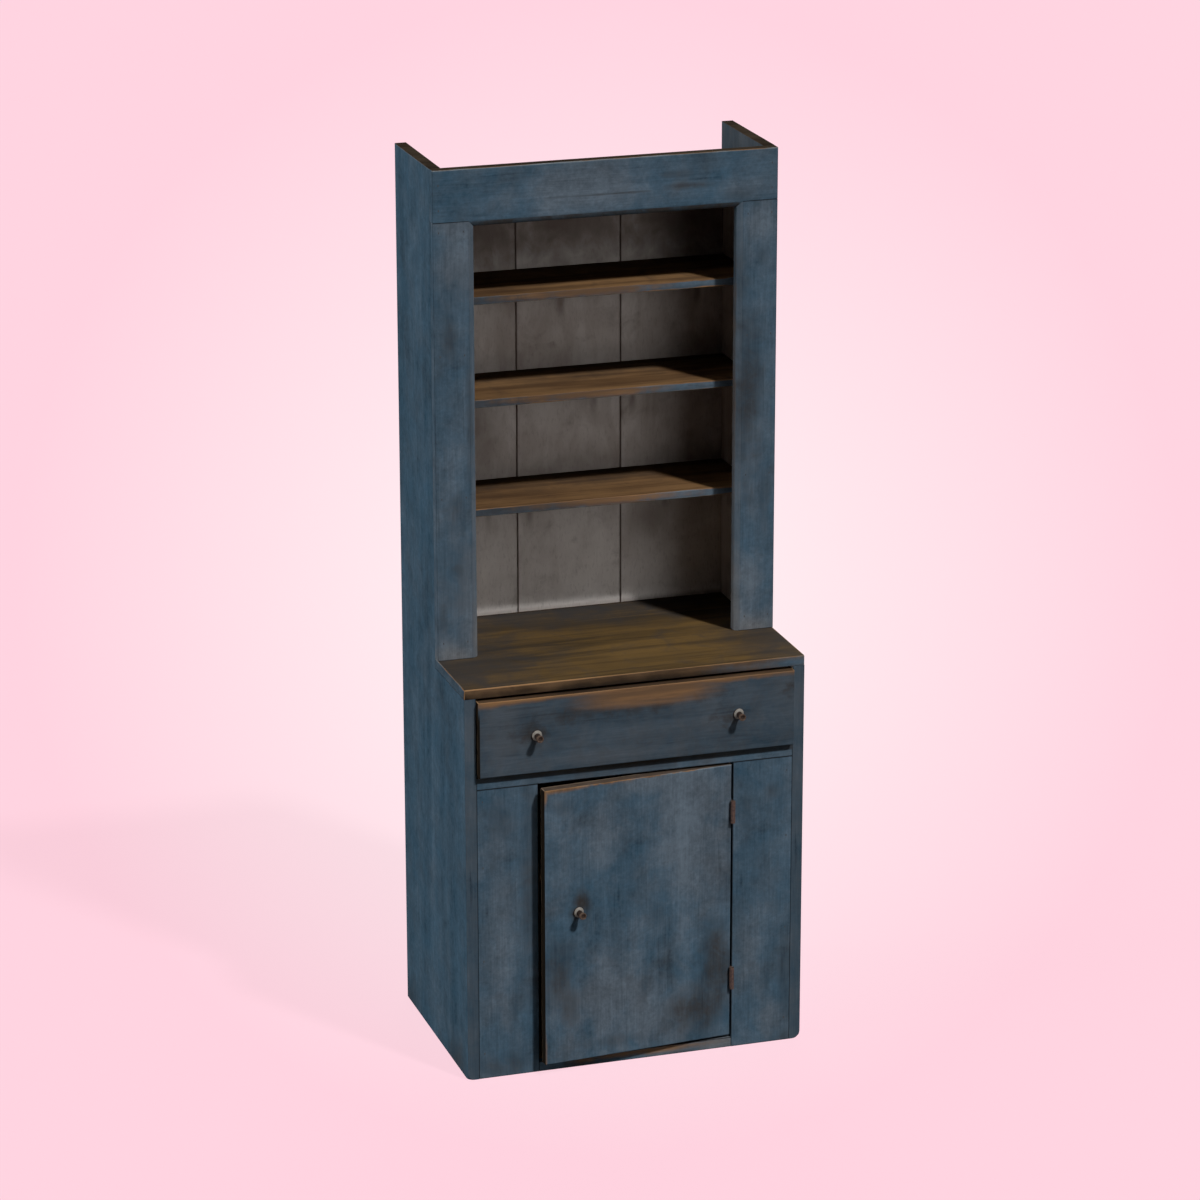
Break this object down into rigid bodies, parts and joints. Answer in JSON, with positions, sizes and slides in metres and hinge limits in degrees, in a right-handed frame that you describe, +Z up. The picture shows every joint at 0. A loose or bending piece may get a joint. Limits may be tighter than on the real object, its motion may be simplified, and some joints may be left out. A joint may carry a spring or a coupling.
{
  "type": "step back cupboard",
  "caption": "Tall step back cupboard: open shelf rack over a deeper base with a drawer and a hinged door, in worn blue paint.",
  "frame": {"origin": "on the floor, at the middle of the bottom board's underside, half way across and half way back", "axes": "+X to the right of the front, +Y to the back, +Z up; the drawer and the door face -Y"},
  "size_m": [0.71, 0.5139, 1.8288],
  "materials": {
    "blue_paint": "old blue milk paint over pine, matt, worn at the arrises",
    "worn_brown_wood": "bare pine worn brown, satin",
    "grey_back_wood": "grey-brown weathered pine, matt",
    "bare_pine": "aged unpainted pine, matt",
    "turned_knob_wood": "dark handled hardwood, satin",
    "rusty_iron": "brown rusted iron, rough"
  },
  "bodies": {
    "case": {"side_left": "blue_paint", "side_right": "blue_paint", "frieze_board": "blue_paint", "upper_stile_left": "blue_paint", "upper_stile_right": "blue_paint", "top_board": "bare_pine", "shelf_upper": "worn_brown_wood", "shelf_middle": "worn_brown_wood", "shelf_lower": "worn_brown_wood", "counter_board": "worn_brown_wood", "drawer_rail": "blue_paint", "lower_stile_left": "blue_paint", "lower_stile_right": "blue_paint", "bottom_board": "bare_pine", "base_shelf": "bare_pine", "drawer_runner_left": "bare_pine", "drawer_runner_right": "bare_pine", "drawer_stop_left": "bare_pine", "drawer_stop_right": "bare_pine", "door_stop": "bare_pine", "back_board_left": "grey_back_wood", "back_board_middle": "grey_back_wood", "back_board_right": "grey_back_wood", "hinge_upper_case_leaf": "rusty_iron", "hinge_lower_case_leaf": "rusty_iron", "hinge_upper_pin": "rusty_iron", "hinge_lower_pin": "rusty_iron"},
    "drawer": {"drawer_front": "blue_paint", "drawer_side_left": "bare_pine", "drawer_side_right": "bare_pine", "drawer_back": "bare_pine", "drawer_bottom": "bare_pine", "drawer_knob_left": "turned_knob_wood", "drawer_knob_right": "turned_knob_wood"},
    "door": {"door_board": "blue_paint", "door_batten_upper": "bare_pine", "door_batten_lower": "bare_pine", "door_knob": "turned_knob_wood", "hinge_upper_door_leaf": "rusty_iron", "hinge_lower_door_leaf": "rusty_iron"}
  },
  "joints": [
    {"name": "drawer_slide", "type": "slide", "parent": "case", "child": "drawer", "axis": [0, -1, 0], "range_m": [-0.012, 0.28]},
    {"name": "door_hinge", "type": "hinge", "parent": "case", "child": "door", "pos_m": [0.20375, -0.23455, 0.3343], "axis": [0, 0, 1], "range_deg": [-4.7, 105]}
  ]
}
